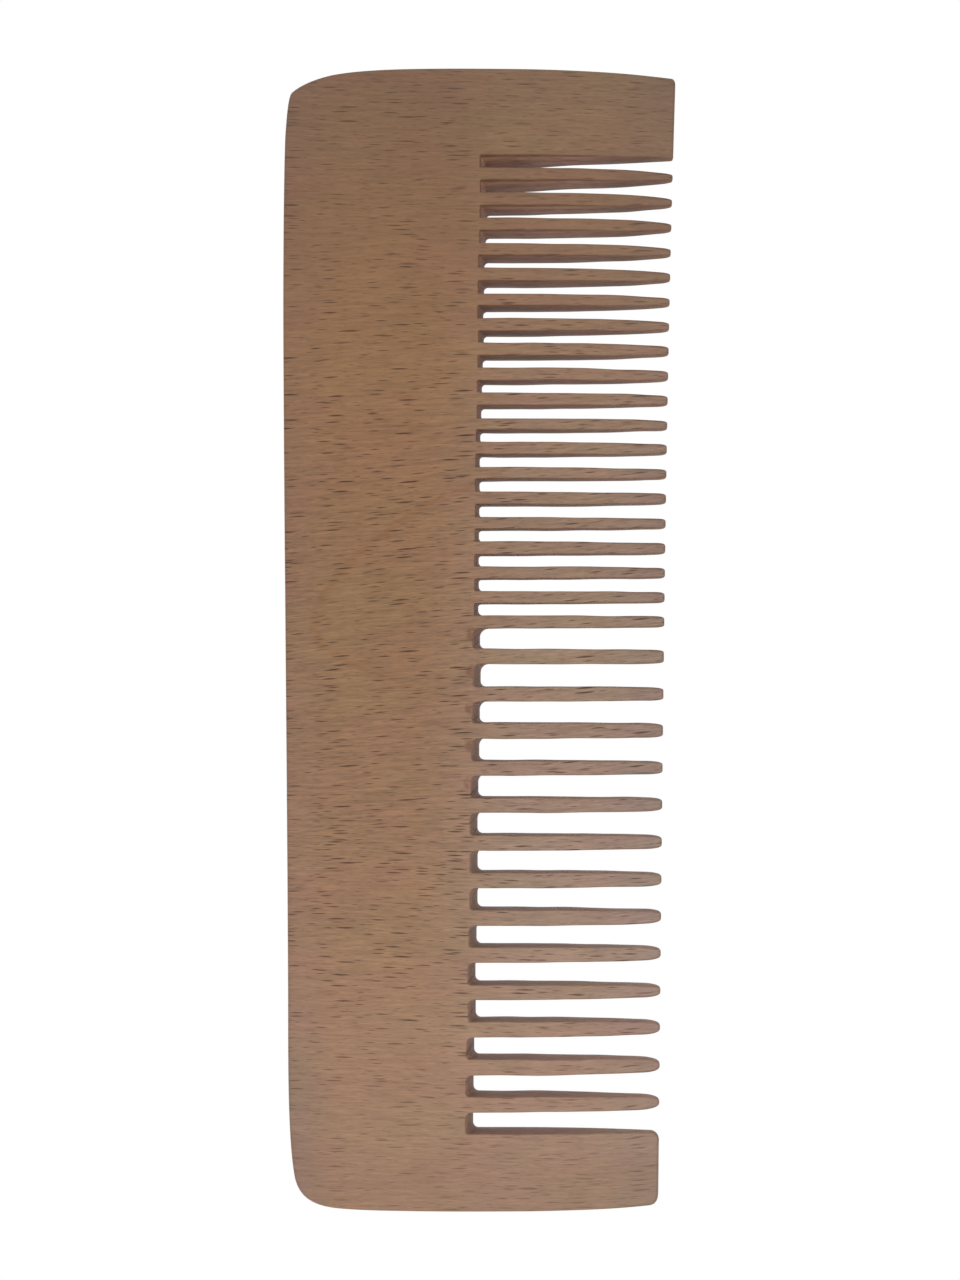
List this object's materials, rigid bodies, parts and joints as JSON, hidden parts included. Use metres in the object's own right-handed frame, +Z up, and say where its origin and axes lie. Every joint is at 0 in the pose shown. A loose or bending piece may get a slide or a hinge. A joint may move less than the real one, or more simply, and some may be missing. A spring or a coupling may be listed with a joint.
{
  "type": "beard comb",
  "caption": "Flat one-piece wooden comb with a wide spine, fine teeth at one end, coarse teeth at the other and a solid guard at each end.",
  "frame": {"origin": "on the surface that the comb lies on, under the middle of its outline", "axes": "+Z up through the thickness, +Y along the comb towards the fine teeth, +X from the spine towards the tooth tips"},
  "size_m": [0.0516, 0.15, 0.006],
  "materials": {
    "beech": "sanded and lightly oiled, satin"
  },
  "bodies": {
    "root": {"comb": "beech"}
  },
  "joints": []
}
